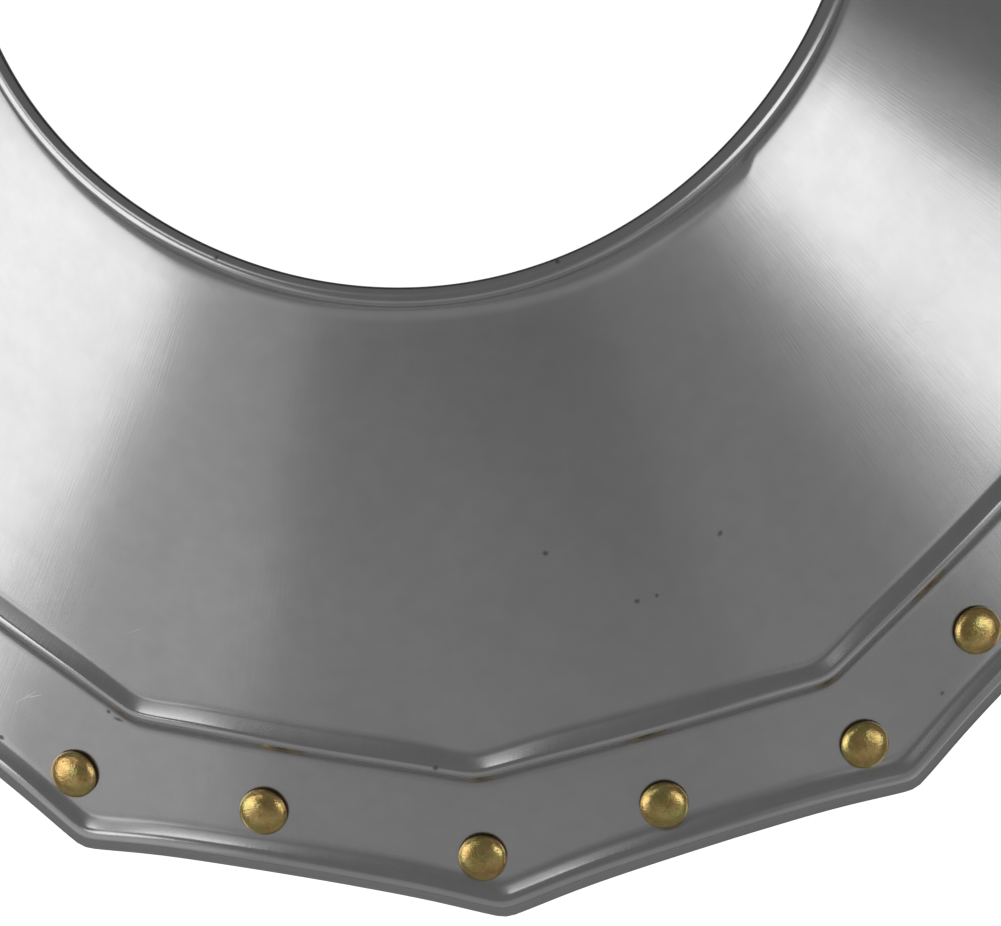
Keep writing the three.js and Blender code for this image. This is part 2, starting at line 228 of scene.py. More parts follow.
def edge_outline(angle):
    """The edge runs a little hollow between its corners."""
    away = 1 - near_corner(angle, EDGE_REACH, EDGE_CORNERS, CORNER_SPREAD)
    return softened(edge_line, angle, EDGE_SOFTNESS) - EDGE_PINCH * away


def on_flank(distance, height):
    """[distance from the axis, height over the collar's foot] of a place on the flank."""
    down = (distance - COLLAR_FOOT) * math.tan(SLOPE)
    return distance + height * math.sin(SLOPE), height * math.cos(SLOPE) - down


def turned(out, up, angle):
    return Vector((out * math.sin(angle), -out * math.cos(angle), up))


def flank_point(angle, distance, height):
    return turned(*on_flank(distance, height), angle)


def leaning(point):
    return Matrix.Rotation(-LEAN, 3, "X") @ point


def find_standing_place():
    """Where the part's own frame put the collar, read from the front plate's box."""
    edge = EDGE_REACH / (1 - STRETCH)
    lip_back, lip_height = BORDER_LIP
    inner_back, inner_height = INNER_LIP
    foremost = flank_point(0, edge - lip_back * BORDER_WIDTH, lip_height * BORDER_HEIGHT)
    lowest = flank_point(0, edge - inner_back * BORDER_WIDTH, inner_height * SHEET)
    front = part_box("front_plate")[0].y
    return Vector((0, front - leaning(foremost).y, -leaning(lowest).z - FOOT_DEPTH))


STANDING_PLACE = find_standing_place()


def stand(point):
    """A point of the upright frame, leant back and put on the floor, inside the part's box."""
    placed = leaning(point) + STANDING_PLACE
    placed.z = min(max(placed.z, 0.0), CAD_BOX[1][2])
    return placed


def hand_wave(angle, distance):
    """Slight unevenness that hammering and grinding left in the sheet."""
    spot = Vector((distance * math.sin(angle), distance * math.cos(angle), 0.3))
    return HAND_WAVE * (noise.noise(spot * 38) + 0.5 * noise.noise(spot * 95))


def smooth_step(value, low, high):
    share = min(max((value - low) / (high - low), 0.0), 1.0)
    return share * share * (3 - 2 * share)


def rim_wave(angle):
    """The neck opening isn't a true circle: it comes in a little four times round."""
    return RIM_WAVE * math.cos(4 * (angle - math.radians(8))) - RIM_DRAW


def collar_ease(angle):
    """The collar's foot runs out wider on the front's right, up to a sudden end."""
    turn = math.degrees(angle)
    return COLLAR_EASE * smooth_step(turn, -5, 30) * (1 - smooth_step(turn, 42, 45))


# Drawing tools

def rounded(corners, closed):
    """Replaces each corner [x, y, rounding, extras...] by a short curve of its own."""
    points = []
    last = len(corners) - 1
    for index, (x, y, rounding, *extras) in enumerate(corners):
        corner = Vector((x, y))
        if rounding == 0 or (not closed and index in (0, last)):
            points.append((x, y, *extras))
            continue
        before = Vector(corners[index - 1][:2]) - corner
        after = Vector(corners[(index + 1) % len(corners)][:2]) - corner
        start = corner + before * min(rounding / before.length, 0.48)
        end = corner + after * min(rounding / after.length, 0.48)
        for step in range(ROUNDING_STEPS + 1):
            share = step / ROUNDING_STEPS
            spot = start.lerp(corner, share).lerp(corner.lerp(end, share), share)
            points.append((spot.x, spot.y, *extras))
    return points


def divided(path, longest):
    """The path with extra points, so that it can bend round the flank."""
    points = [Vector(path[0])]
    for goal in map(Vector, path[1:]):
        start = points[-1]
        pieces = max(1, math.ceil((goal - start).length / longest))
        points.extend(start.lerp(goal, piece / pieces) for piece in range(1, pieces + 1))
    return points


def loft(name, rings, closed=False, layers=None, uvs=None):
    """A skin over closed rings of points, capped at both ends unless it closes on itself."""
    count = len(rings[0])
    verts = [point for ring in rings for point in ring]
    faces = []
    total = len(rings)
    for row in range(total if closed else total - 1):
        start = row * count
        after = ((row + 1) % total) * count
        for index in range(count):
            beside = (index + 1) % count
            faces.append((start + index, start + beside, after + beside, after + index))
    if not closed:
        faces.append(tuple(range(count)))
        faces.append(tuple(range((total - 1) * count, total * count)))
    mesh = bpy.data.meshes.new(name)
    mesh.from_pydata(verts, [], faces)
    for layer, values in (layers or {}).items():
        attribute = mesh.attributes.new(layer, "FLOAT", "POINT")
        attribute.data.foreach_set("value", values)
    if uvs:
        sheet = mesh.uv_layers.new(name="around")
        for loop in mesh.loops:
            sheet.data[loop.index].uv = uvs[loop.vertex_index]
    finish_skin(mesh, cap_faces=0 if closed else 2)
    piece = bpy.data.objects.new(name, mesh)
    bpy.context.scene.collection.objects.link(piece)
    return piece


def finish_skin(mesh, cap_faces):
    """Points every face outwards, smooths the skin and keeps the caps' rims crisp."""
    work = bmesh.new()
    work.from_mesh(mesh)
    bmesh.ops.recalc_face_normals(work, faces=work.faces)
    if work.calc_volume(signed=True) < 0:
        bmesh.ops.reverse_faces(work, faces=work.faces)
    work.faces.ensure_lookup_table()
    for face in work.faces:
        face.smooth = True
    for face in work.faces[len(work.faces) - cap_faces:]:
        for rim in face.edges:
            rim.smooth = False
    work.to_mesh(mesh)
    work.free()


def dress(piece, material, slot_name, *nodes):
    """Gives a piece its finish and puts it in the place of its CAD nodes."""
    piece.data.materials.append(material)
    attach(piece, "root")
    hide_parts(*nodes)
    return piece


# Shader tools

def add_node(tree, kind, inputs=None, **settings):
    made = tree.nodes.new(kind)
    for name, value in settings.items():
        setattr(made, name, value)
    for name, value in (inputs or {}).items():
        connect(tree, value, made.inputs[name])
    return made


def connect(tree, value, socket):
    if isinstance(value, bpy.types.NodeSocket):
        tree.links.new(value, socket)
    else:
        socket.default_value = value


def math_node(tree, operation, first, second):
    made = tree.nodes.new("ShaderNodeMath")
    made.operation = operation
    connect(tree, first, made.inputs[0])
    connect(tree, second, made.inputs[1])
    return made.outputs[0]


def scaled_sum(tree, first, second, factor):
    return math_node(tree, "ADD", first, math_node(tree, "MULTIPLY", second, factor))


def mix_colours(tree, factor, first, second):
    made = tree.nodes.new("ShaderNodeMix")
    made.data_type = "RGBA"
    connect(tree, factor, made.inputs[0])
    connect(tree, first, made.inputs[6])
    connect(tree, second, made.inputs[7])
    return made.outputs[2]


def map_range(tree, value, low, high, new_low=0.0, new_high=1.0):
    made = add_node(tree, "ShaderNodeMapRange", {
        "Value": value, "From Min": low, "From Max": high, "To Min": new_low, "To Max": new_high,
    })
    return made.outputs[0]


def new_effect(name, inputs, output):
    """An empty effect group, its own input node, and the socket that takes its result."""
    group = bpy.data.node_groups.new(name, "ShaderNodeTree")
    for label, (kind, value) in inputs.items():
        socket = group.interface.new_socket(label, in_out="INPUT", socket_type=kind)
        if value is not None:
            socket.default_value = value
    group.interface.new_socket(output, in_out="OUTPUT", socket_type="NodeSocketFloat")
    start = group.nodes.new("NodeGroupInput")
    end = group.nodes.new("NodeGroupOutput")
    return group, start.outputs, end.inputs[0]


FLOAT = "NodeSocketFloat"
VECTOR = "NodeSocketVector"


def make_patches_effect():
    """Soft patches: where a finish is duller, paler or dirtier."""
    group, given, result = new_effect("soft_patches", {
        "Place": (VECTOR, None), "Scale": (FLOAT, 30.0), "Low": (FLOAT, 0.4), "High": (FLOAT, 0.7),
    }, "Mask")
    cloud = add_node(group, "ShaderNodeTexNoise", {
        "Vector": given["Place"], "Scale": given["Scale"], "Detail": 3.0, "Roughness": 0.6,
    })
    connect(group, map_range(group, cloud.outputs["Fac"], given["Low"], given["High"]), result)
    return group


def make_lines_effect():
    """Fine lines left by polishing, long one way and narrow the other."""
    group, given, result = new_effect("fine_lines", {
        "Place": (VECTOR, None), "Along": (FLOAT, 60.0), "Across": (FLOAT, 3000.0),
        "Low": (FLOAT, 0.3), "High": (FLOAT, 0.7),
    }, "Mask")
    parts = add_node(group, "ShaderNodeSeparateXYZ", {"Vector": given["Place"]})
    drawn = add_node(group, "ShaderNodeCombineXYZ", {
        "X": math_node(group, "MULTIPLY", parts.outputs["X"], given["Along"]),
        "Y": math_node(group, "MULTIPLY", parts.outputs["Y"], given["Across"]),
        "Z": parts.outputs["Z"],
    })
    grain = add_node(group, "ShaderNodeTexNoise", {
        "Vector": drawn.outputs["Vector"], "Scale": 1.0, "Detail": 2.0, "Roughness": 0.65,
    })
    connect(group, map_range(group, grain.outputs["Fac"], given["Low"], given["High"]), result)
    return group


def make_pits_effect():
    """Small scattered pits or specks, most of the cells left clean."""
    group, given, result = new_effect("small_pits", {
        "Place": (VECTOR, None), "Scale": (FLOAT, 200.0), "Size": (FLOAT, 0.1), "Share": (FLOAT, 0.2),
    }, "Mask")
    cells = add_node(group, "ShaderNodeTexVoronoi", {"Vector": given["Place"], "Scale": given["Scale"]})
    near = map_range(group, cells.outputs["Distance"], given["Size"], 0.0)
    shade = add_node(group, "ShaderNodeSeparateColor", {"Color": cells.outputs["Color"]})
    chosen = math_node(group, "LESS_THAN", shade.outputs["Red"], given["Share"])
    connect(group, math_node(group, "MULTIPLY", near, chosen), result)
    return group


def make_mark_effect():
    """One mark at a set place: a dent, speck or scratch with soft ends."""
    group, given, result = new_effect("single_mark", {
        "Place": (VECTOR, None), "Angle": (FLOAT, 0.0), "Distance": (FLOAT, 0.1),
        "Length": (FLOAT, 0.001), "Width": (FLOAT, 0.001), "Turn": (FLOAT, 0.0),
    }, "Mask")
    centre = add_node(group, "ShaderNodeCombineXYZ", {"X": given["Angle"], "Y": given["Distance"]})
    away = add_node(group, "ShaderNodeVectorMath", operation="SUBTRACT")
    connect(group, given["Place"], away.inputs[0])
    connect(group, centre.outputs["Vector"], away.inputs[1])
    spun = add_node(group, "ShaderNodeVectorRotate", {
        "Vector": away.outputs["Vector"], "Angle": given["Turn"],
    }, rotation_type="Z_AXIS")
    parts = add_node(group, "ShaderNodeSeparateXYZ", {"Vector": spun.outputs["Vector"]})
    along = math_node(group, "DIVIDE", parts.outputs["X"], given["Length"])
    across = math_node(group, "DIVIDE", parts.outputs["Y"], given["Width"])
    square = math_node(group, "MULTIPLY", along, along)
    reach = math_node(group, "ADD", square, math_node(group, "MULTIPLY", across, across))
    connect(group, map_range(group, reach, 1.0, 0.0), result)
    return group


PATCHES = make_patches_effect()
LINES = make_lines_effect()
PITS = make_pits_effect()
MARK = make_mark_effect()


def effect(tree, group, inputs):
    """Puts an effect group into a material and returns its mask."""
    made = add_node(tree, "ShaderNodeGroup", node_tree=group)
    for name, value in inputs.items():
        connect(tree, value, made.inputs[name])
    return made.outputs["Mask"]


def new_finish(name):
    """A material with its node tree and the shader that its finish ends in."""
    material = bpy.data.materials.new(name)
    material.use_nodes = True
    tree = material.node_tree
    shader = tree.nodes["Principled BSDF"]
    return material, tree, shader


def layer_value(tree, name):
    return add_node(tree, "ShaderNodeAttribute", attribute_name=name).outputs["Fac"]


def add_bump(tree, shader, height, depth):
    bump = add_node(tree, "ShaderNodeBump", {"Height": height, "Strength": 1.0, "Distance": depth})
    connect(tree, bump.outputs["Normal"], shader.inputs["Normal"])


# Marks that the gorget's steel shows: angle round the neck in degrees, distance from its axis,
# half length, half width, turn in degrees
STEEL_SPECKS = [
    (7.0, 0.1071, 0.00055, 0.00045, 0), (13.2, 0.1164, 0.00050, 0.00040, 0),
    (14.8, 0.1165, 0.00035, 0.00035, 0), (21.3, 0.1119, 0.00060, 0.00040, 20),
    (30.1, 0.1459, 0.00035, 0.00040, 0), (-33.5, 0.1457, 0.00050, 0.00040, 0),
    (16.4, 0.0721, 0.00060, 0.00070, 0), (-27.2, 0.0718, 0.00070, 0.00050, 0),
    (-26.9, 0.1354, 0.00040, 0.00035, 0), (-26.1, 0.1359, 0.00080, 0.00030, 0),
    (-3.5, 0.1350, 0.00045, 0.00045, 0),
]
STEEL_SCRATCHES = [
    (45.5, 0.1053, 0.00270, 0.00008, -38), (-32.8, 0.1386, 0.00220, 0.00009, 58),
    (-32.3, 0.1380, 0.00120, 0.00008, 40), (-26.4, 0.1230, 0.00160, 0.00008, 42),
]


def add_marks(tree, place, rows):
    """The strongest of a list of single marks, over the whole surface."""
    strongest = None
    for angle, distance, length, width, turn in rows:
        mask = effect(tree, MARK, {
            "Place": place, "Angle": math.radians(angle) * UV_RADIUS, "Distance": distance,
            "Length": length, "Width": width, "Turn": math.radians(turn),
        })
        strongest = mask if strongest is None else math_node(tree, "MAXIMUM", strongest, mask)
    return strongest


def make_steel():
    """Satin steel, polished round the neck, darker and duller in its creases and on its inner face from
    dirt and painted shade, and rubbed on its crests.
    """
    material, tree, shader = new_finish("satin_steel")
    around = add_node(tree, "ShaderNodeUVMap", uv_map="around").outputs["UV"]
    place = add_node(tree, "ShaderNodeTexCoord").outputs["Object"]
    dull = effect(tree, PATCHES, {"Place": place, "Scale": 18.0, "Low": 0.35, "High": 0.7})
    mottle = effect(tree, PATCHES, {"Place": place, "Scale": 260.0, "Low": 0.35, "High": 0.7})
    brushed = effect(tree, LINES, {"Place": around, "Along": 3600.0, "Across": 110.0})
    grime_and_shade = layer_value(tree, "hollow")
    rubbed = layer_value(tree, "crest")
    stains = add_marks(tree, around, STEEL_SPECKS)
    scratches = add_marks(tree, around, STEEL_SCRATCHES)
    colour = mix_colours(tree, dull, (0.655, 0.652, 0.655, 1), (0.60, 0.598, 0.60, 1))
    colour = mix_colours(tree, math_node(tree, "MULTIPLY", mottle, 0.25), colour, (0.5, 0.5, 0.5, 1))
    colour = mix_colours(tree, math_node(tree, "MULTIPLY", rubbed, 0.35), colour, (0.72, 0.72, 0.72, 1))
    # Dirt and painted shade: the hollow layer darkens the creases, the collar's foot and the inner face
    colour = mix_colours(tree, math_node(tree, "MULTIPLY", grime_and_shade, 0.2), colour, (0.2, 0.19, 0.18, 1))
    colour = mix_colours(tree, math_node(tree, "MULTIPLY", stains, 0.7), colour, (0.07, 0.05, 0.045, 1))
    colour = mix_colours(tree, math_node(tree, "MULTIPLY", scratches, 0.5), colour, (0.85, 0.85, 0.85, 1))
    connect(tree, colour, shader.inputs["Base Color"])
    rough = scaled_sum(tree, scaled_sum(tree, 0.19, dull, 0.03), brushed, 0.02)
    rough = scaled_sum(tree, scaled_sum(tree, rough, scratches, 0.12), stains, 0.3)
    rough = scaled_sum(tree, scaled_sum(tree, rough, grime_and_shade, 0.13), rubbed, -0.04)
    connect(tree, rough, shader.inputs["Roughness"])
    shader.inputs["Metallic"].default_value = 1.0
    add_bump(tree, shader, brushed, 0.0000022)
    return material


def make_brass():
    """Worn brass, near black at the domes' feet, under the heads and on the wires' undersides: partly
    patina where hands and cloth don't reach, partly painted shade.
    """
    material, tree, shader = new_finish("worn_brass")
    place = add_node(tree, "ShaderNodeTexCoord").outputs["Object"]
    tarnish = effect(tree, PATCHES, {"Place": place, "Scale": 420.0, "Low": 0.4, "High": 0.7})
    fine = effect(tree, PATCHES, {"Place": place, "Scale": 1900.0, "Low": 0.35, "High": 0.75})
    pits = effect(tree, PITS, {"Place": place, "Scale": 900.0, "Size": 0.22, "Share": 0.25})
    worn = effect(tree, LINES, {"Place": place, "Along": 700.0, "Across": 6000.0})
    grime_and_shade = layer_value(tree, "hollow")
    green = effect(tree, PATCHES, {"Place": place, "Scale": 260.0, "Low": 0.42, "High": 0.6})
    colour = mix_colours(tree, green, (0.86, 0.58, 0.22, 1), (0.66, 0.60, 0.20, 1))
    colour = mix_colours(tree, math_node(tree, "MULTIPLY", tarnish, 0.7), colour, (0.42, 0.22, 0.05, 1))
    colour = mix_colours(tree, math_node(tree, "MULTIPLY", fine, 0.3), colour, (0.88, 0.70, 0.40, 1))
    colour = mix_colours(tree, math_node(tree, "MULTIPLY", pits, 0.7), colour, (0.20, 0.10, 0.03, 1))
    # Patina and painted shade: the hollow layer turns the domes' feet, the heads' undersides and the
    # wires' undersides near black.
    colour = mix_colours(tree, math_node(tree, "MULTIPLY", grime_and_shade, 0.85), colour, (0.05, 0.035, 0.015, 1))
    connect(tree, colour, shader.inputs["Base Color"])
    rough = scaled_sum(tree, scaled_sum(tree, 0.09, tarnish, 0.1), grime_and_shade, 0.3)
    connect(tree, scaled_sum(tree, rough, worn, 0.05), shader.inputs["Roughness"])
    shader.inputs["Metallic"].default_value = 1.0
    height = scaled_sum(tree, math_node(tree, "MULTIPLY", fine, 0.6), pits, -1.0)
    add_bump(tree, shader, scaled_sum(tree, height, worn, 0.3), 0.00004)
    return material


def make_leather():
    """Dark brown strap leather with grain and pores, darker and a little duller at its edges."""
    material, tree, shader = new_finish("brown_leather")
    place = add_node(tree, "ShaderNodeTexCoord").outputs["Object"]
    faded = effect(tree, PATCHES, {"Place": place, "Scale": 70.0, "Low": 0.35, "High": 0.75})
    fine = effect(tree, PATCHES, {"Place": place, "Scale": 1400.0, "Low": 0.3, "High": 0.7})
    pores = effect(tree, PITS, {"Place": place, "Scale": 1500.0, "Size": 0.3, "Share": 0.35})
    cells = add_node(tree, "ShaderNodeTexVoronoi", {"Vector": place, "Scale": 1100.0},
                     feature="DISTANCE_TO_EDGE")
    grain = map_range(tree, cells.outputs["Distance"], 0.0, 0.25)
    edge = layer_value(tree, "edge")
    colour = mix_colours(tree, faded, (0.085, 0.038, 0.02, 1), (0.13, 0.062, 0.033, 1))
    colour = mix_colours(tree, math_node(tree, "MULTIPLY", fine, 0.4), colour, (0.06, 0.026, 0.014, 1))
    colour = mix_colours(tree, math_node(tree, "MULTIPLY", pores, 0.6), colour, (0.02, 0.01, 0.006, 1))
    colour = mix_colours(tree, math_node(tree, "MULTIPLY", edge, 0.6), colour, (0.035, 0.018, 0.012, 1))
    connect(tree, colour, shader.inputs["Base Color"])
    rough = scaled_sum(tree, scaled_sum(tree, 0.42, faded, 0.16), fine, 0.1)
    connect(tree, scaled_sum(tree, rough, edge, 0.1), shader.inputs["Roughness"])
    shader.inputs["Specular IOR Level"].default_value = 0.45
    height = scaled_sum(tree, scaled_sum(tree, grain, fine, 0.5), pores, -0.8)
    add_bump(tree, shader, height, 0.00009)
    return material


STEEL = make_steel()
BRASS = make_brass()
BROWN_LEATHER = make_leather()


# Plates

def rim_corners(angle):
    """Neck rim, rolled outwards, from the inner side of the neck to the collar's foot."""
    centre = NECK_RADIUS + RIM_RADIUS + rim_wave(angle)
    ease = collar_ease(angle)
    # The hollow share puts dirt and painted shade in the crease under the bead and at the collar's foot.
    corners = [(COLLAR_FOOT - SHEET, -0.35 * SHEET, 0.003, 0.0, 0.0)]
    for step in range(RIM_STEPS + 1):
        turn = math.pi - 1.5 * math.pi * step / RIM_STEPS
        out = centre + RIM_RADIUS * math.cos(turn)
        up = COLLAR_HEIGHT + RIM_RADIUS * math.sin(turn)
        corners.append((out, up, 0.0, 1.0 if step == RIM_STEPS else 0.0, 0.0))
    corners.append((COLLAR_FOOT + 0.3 * ease, 1.3 * SHEET, 0.0004, 0.5, 0.0))
    corners.append((COLLAR_FOOT + 0.7 * ease, 0.4 * SHEET, 0.0007, 0.35, 0.0))
    return corners


def flank_corners(angle):
    """Outer face from the collar's foot to the lower edge, then the inner face back up.
    Each corner is [distance, height, rounding, hollow, crest], where hollow darkens the steel with dirt
    and painted shade."""
    ridge = ridge_outline(angle)
    edge = edge_outline(angle)
    narrowing = RIDGE_NARROWING * near_corner(angle, RIDGE_REACH, RIDGE_CORNERS, CORNER_SPREAD)
    foot = ridge - RIDGE_FOOT * RIDGE_WIDTH + narrowing
    drop = ridge + RIDGE_DROP * RIDGE_WIDTH
    border = edge - BORDER_FOOT * BORDER_WIDTH
    toe = COLLAR_FOOT + COLLAR_TOE * SHEET + collar_ease(angle)
    start = COLLAR_FOOT + COLLAR_ROOM
    end = foot - RIDGE_ROOM
    lip_back, lip_height = BORDER_LIP
    inner_back, inner_height = INNER_LIP
    rows = [(toe, 0.0, 0.0014, 0.3, 0.0)]
    for row in range(MAIN_ROWS + 1):
        rows.append((start + (end - start) * row / MAIN_ROWS, 0.0, 0.0, 0.0, 0.0))
    rows += [
        (foot - RIDGE_CREASE, 0.0, 0.0, 0.1, 0.0),
        (foot, 0.0, 0.0005, 1.0, 0.0),
        (ridge - 0.43 * RIDGE_WIDTH, RIDGE_HEIGHT, 0.0004, 0.0, 0.8),
        (ridge - 0.16 * RIDGE_WIDTH, 0.96 * RIDGE_HEIGHT, 0.0004, 0.0, 1.0),
        (drop, 0.0, 0.0005, 1.0, 0.0),
        (drop + RIDGE_CREASE, 0.0, 0.0, 0.1, 0.0),
        (drop + RIDGE_ROOM, 0.0, 0.0, 0.0, 0.0),
        ((drop + border) / 2, 0.0, 0.0, 0.0, 0.0),
        (border - BORDER_ROOM, 0.0, 0.0, 0.0, 0.0),
        (border - BORDER_CREASE, 0.0, 0.0, 0.1, 0.0),
        (border, 0.0, 0.0007, 1.0, 0.0),
        (edge - 0.73 * BORDER_WIDTH, 0.90 * BORDER_HEIGHT, 0.0006, 0.0, 0.4),
        (edge - 0.45 * BORDER_WIDTH, 0.94 * BORDER_HEIGHT, 0.0006, 0.0, 1.0),
        (edge - lip_back * BORDER_WIDTH, lip_height * BORDER_HEIGHT, 0.0006, 0.0, 0.4),
        (edge, -0.5 * SHEET, 0.0005, 0.0, 0.3),
        (edge - inner_back * BORDER_WIDTH, inner_height * SHEET, 0.0004, 0.0, 0.0),
        (edge - 0.4 * BORDER_WIDTH, -1.6 * SHEET, 0.0005, 0.4, 0.0),
        (edge - 0.62 * BORDER_WIDTH, -SHEET, 0.0004, 0.6, 0.0),
        (ridge + 0.35 * RIDGE_WIDTH, -SHEET, 0.0004, 0.3, 0.0),
        (ridge, 0.9 * RIDGE_HEIGHT - SHEET, 0.0004, 0.3, 0.0),
        (ridge - 0.25 * RIDGE_WIDTH, RIDGE_HEIGHT - SHEET, 0.0004, 0.3, 0.0),
        (ridge - RIDGE_WIDTH, -SHEET, 0.0006, 0.2, 0.0),
    ]
    return rows


def plate_section(angle):
    """Closed section of a plate as [out, up, hollow, crest], with every corner rounded."""
    corners = rim_corners(angle)
    for distance, height, rounding, hollow, crest in flank_corners(angle):
        out, up = on_flank(distance, height + hand_wave(angle, distance))
        corners.append((out, up, rounding, hollow, crest))
    return rounded(corners, closed=True)


def plate_angles(centre):
    half = math.pi / 2 - PLATE_GAP / 2 / COLLAR_FOOT
    columns = (SIDE_COUNT // 2) * COLUMNS_PER_SIDE
    return [centre + half * (2 * column / columns - 1) for column in range(columns + 1)]


def unrolled(section):
    """How far out each point of a section is; the inner face counts on from the edge."""
    outs = [row[0] for row in section]
    edge = max(outs)
    turning = outs.index(edge)
    return [out if index <= turning else 2 * edge - out for index, out in enumerate(outs)]


def add_plate(plate_name, centre):
    rings = []
    hollows = []
    crests = []
    uvs = []
    for angle in plate_angles(centre):
        section = plate_section(angle)
        rings.append([stand(turned(out, up, angle)) for out, up, _, _ in section])
        hollows.extend(row[2] for row in section)
        crests.extend(row[3] for row in section)
        uvs.extend((angle * UV_RADIUS, run) for run in unrolled(section))
    layers = {"hollow": hollows, "crest": crests}
    skin = loft(f"{plate_name}_plate_skin", rings, layers=layers, uvs=uvs)
    dress(skin, STEEL, "steel", f"{plate_name}_plate")


# Rivets

def rivet_profile(stack):
    """[radius, height above the flank, hollow] from the tail under the sheet to the dome's top. The
    hollow share paints shade and patina under the head and round the dome's foot.
    """
    seat = stack + CLEARANCE
    tail = -SHEET - CLEARANCE
    low = tail - RIVET_TAIL_HEIGHT
    profile = [
        (0.1 * RIVET_TAIL_RADIUS, low, 0.3),
        (0.55 * RIVET_TAIL_RADIUS, low, 0.3),
        (0.86 * RIVET_TAIL_RADIUS, low + 0.2 * RIVET_TAIL_HEIGHT, 0.3),
        (RIVET_TAIL_RADIUS, low + 0.55 * RIVET_TAIL_HEIGHT, 0.4),
        (RIVET_TAIL_RADIUS, tail, 0.8),
        (RIVET_SHANK_RADIUS, tail, 1.0),
        (RIVET_SHANK_RADIUS, seat, 1.0),
        (0.97 * RIVET_HEAD_RADIUS, seat, 1.0),
        (RIVET_HEAD_RADIUS, seat + 0.08 * RIVET_HEAD_HEIGHT, 1.0),
    ]
    for step in range(1, DOME_STEPS):
        turn = 0.5 * math.pi * step / DOME_STEPS
        radius = RIVET_HEAD_RADIUS * math.cos(turn) ** 0.9
        height = seat + RIVET_HEAD_HEIGHT * (0.08 + 0.92 * math.sin(turn) ** 0.92)
        profile.append((radius, height, max(0.0, 1.0 - 0.7 * step)))
    profile.append((0.05 * RIVET_HEAD_RADIUS, seat + RIVET_HEAD_HEIGHT, 0.0))
    return profile


def rivet_rings(stack, angle, distance, seed):
    """Rings of one rivet standing on the flank, each dome a little uneven from the hammer."""
    foot = flank_point(angle, distance, 0)
    up = flank_point(angle, distance, 1) - foot
    sideways = Vector((math.cos(angle), math.sin(angle), 0))
    forwards = up.cross(sideways)
    rings = []
    hollows = []
    for radius, height, hollow in rivet_profile(stack):
        ring = []
        for side in range(RIVET_SIDES):
            turn = 2 * math.pi * side / RIVET_SIDES
            flat = radius * (math.cos(turn) * sideways + math.sin(turn) * forwards)
            uneven = 0.012 * noise.noise(flat * 420 + Vector((seed * 3.1, height * 400, 0.0)))
            spot = foot + flat * (1 + uneven) + up * height
            ring.append(stand(spot))
            hollows.append(hollow)
        rings.append(ring)
    return rings, hollows


def add_rivet(name, stack, angle, distance, seed):
    rings, hollows = rivet_rings(stack, angle, distance, seed)
    rivet = loft(f"{name}_shaped", rings, layers={"hollow": hollows})
    dress(rivet, BRASS, "brass", name)


def add_rivet_row(plate_name, centre, handwork):
    """Rivets at every corner and half way along every side, but not on the joints' sides."""
    half = (SIDE_COUNT // 2 - 1) // 2
    for step in range(-2 * half, 2 * half + 1):
        turn, place = handwork.get(step, EVEN_RIVET)
        angle = centre + step * SIDE_ANGLE / 2 + math.radians(turn)
        ridge = ridge_line(angle)
        edge = edge_line(angle)
        kind = "corner" if step % 2 == 0 else "side"
        number = math.floor(step / 2 + half + 0.5) + 1
        name = f"{plate_name}_{kind}_rivet_{number}"
        add_rivet(name, 0.0, angle, ridge + (edge - ridge) * place, step + 7 * centre)


# Straps and buckles. They are drawn flat, with x across the strap, y along it towards the
# front and z above the flank, and then wrapped round the flank without stretching.

def strap_place(across, along):
    slant = STRAP_CLOSEST / math.cos(SLOPE)
    swing = math.atan2(along, slant + across) / math.cos(SLOPE)
    return STRAP_CLOSEST_ANGLE - swing, math.hypot(slant + across, along) * math.cos(SLOPE)


def wrap(across, along, height, side):
    angle, distance = strap_place(across, along)
    return stand(flank_point(side * angle, distance, height))


def end_width(along, back, front, width):
    """Width of a strap at one place, narrowing to a round end at back and front."""
    rounding = 0.45 * width
    gap = max(min(along - back, front - along), 0.0)
    if gap >= rounding:
        return width
    share = 1 - math.sqrt(gap / rounding)
    return width * max(1 - share * share, 0.12)


def band_section(width, thickness):
    """Half the points of a leather band's section: [across, over, edge], rounded edges."""
    half = width / 2
    deep = thickness / 2
    soft = min(0.28 * thickness, 0.2 * half)
    inner = half - 2.2 * soft
    corners = [
        (-half, -deep, soft, 1.0), (-inner, -deep, 0.0, 0.3), (0.0, -deep, 0.0, 0.0),
        (inner, -deep, 0.0, 0.3), (half, -deep, soft, 1.0),
        (half, deep, soft, 1.0), (inner, deep, 0.0, 0.3), (0.0, deep, 0.0, 0.0),
        (-inner, deep, 0.0, 0.3), (-half, deep, soft, 1.0),
    ]
    return rounded(corners, closed=True)


def band_stations(path):
    """[along, height, direction] at every point of a path."""
    stations = []
    for index, point in enumerate(path):
        before = path[max(index - 1, 0)]
        after = path[min(index + 1, len(path) - 1)]
        stations.append((point, (after - before).normalized()))
    return stations


def flat_band(name, path, width, back, front):
    """A leather band along a path of [along, height], still flat."""
    rings = []
    edges = []
    for point, direction in band_stations(path):
        over = Vector((-direction.y, direction.x))
        ring = []
        for across, rise, edge in band_section(end_width(point.x, back, front, width), LEATHER):
            spot = point + over * rise
            ring.append(Vector((across, spot.x, spot.y)))
            edges.append(edge)
        rings.append(ring)
    return loft(name, rings, layers={"edge": edges})


def slot_cutter(width, back, front):
    """Upright round-ended block that cuts a slot through a flat band."""
    rings = []
    half = width / 2
    for height in (-4 * LEATHER, 8 * LEATHER):
        ring = []
        for middle, first in ((front - half, 0), (back + half, math.pi)):
            for step in range(SLOT_END_STEPS + 1):
                turn = first + math.pi * step / SLOT_END_STEPS
                spot = (half * math.cos(turn), middle + half * math.sin(turn), height)
                ring.append(Vector(spot))
        rings.append(ring)
    return loft("slot_cutter", rings)


